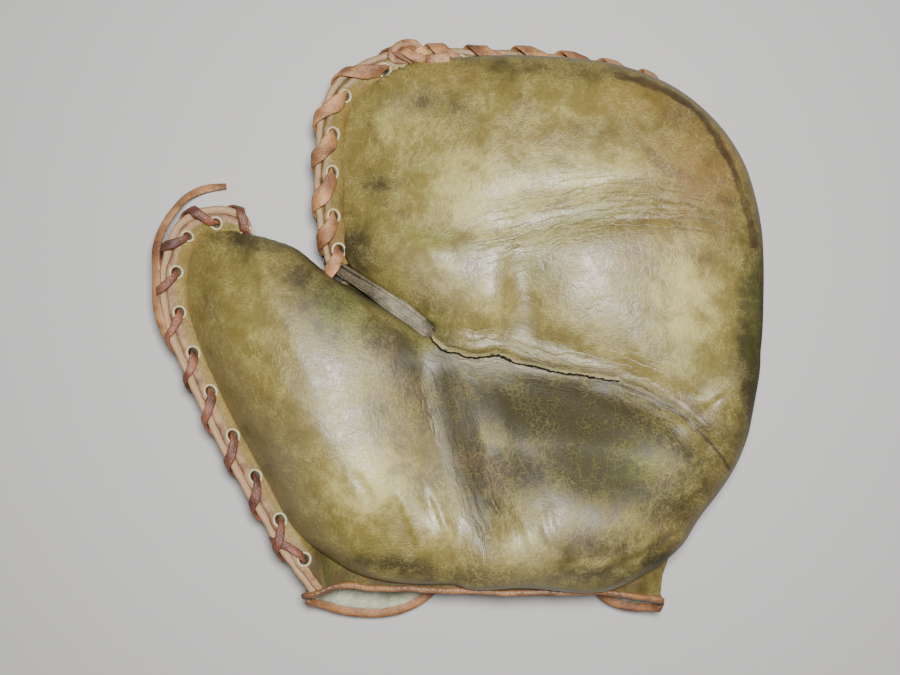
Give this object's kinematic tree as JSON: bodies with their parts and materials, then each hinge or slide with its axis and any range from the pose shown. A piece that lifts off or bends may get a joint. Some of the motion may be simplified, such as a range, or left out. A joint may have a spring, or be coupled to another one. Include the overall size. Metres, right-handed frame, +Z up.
{
  "type": "first baseman mitt",
  "caption": "Worn laced olive leather first baseman mitt lying on its back, with a two-part padded palm, a separate padded thumb, an open wrist and one loose lace end.",
  "frame": {"origin": "under the middle of the mitt, on the surface that its back lies on", "axes": "+X from the thumb to the little finger, +Y from the wrist to the fingertips, +Z up out of the palm"},
  "size_m": [0.2675, 0.2556, 0.0615],
  "materials": {
    "palm_leather": "worn olive padded leather with a fine pale crackle and dark oiled hollows",
    "back_leather": "dull olive leather",
    "gusset_leather": "wrinkled grey-brown leather",
    "binding_leather": "orange-brown folded leather with stitching",
    "lining_leather": "pale grey-green thin leather",
    "thumb_lace_leather": "red-brown rawhide lace",
    "finger_lace_leather": "orange-tan rawhide lace"
  },
  "bodies": {
    "root": {"palm_pad": "palm_leather", "back_panel": "back_leather", "crotch_gusset": "gusset_leather", "heel_binding": "binding_leather", "back_binding": "binding_leather", "back_lining": "lining_leather", "wrist_strap": "back_leather", "thumb_lace": "thumb_lace_leather", "finger_lace": "finger_lace_leather", "lace_knot": "finger_lace_leather", "lace_end": "finger_lace_leather"}
  },
  "joints": []
}
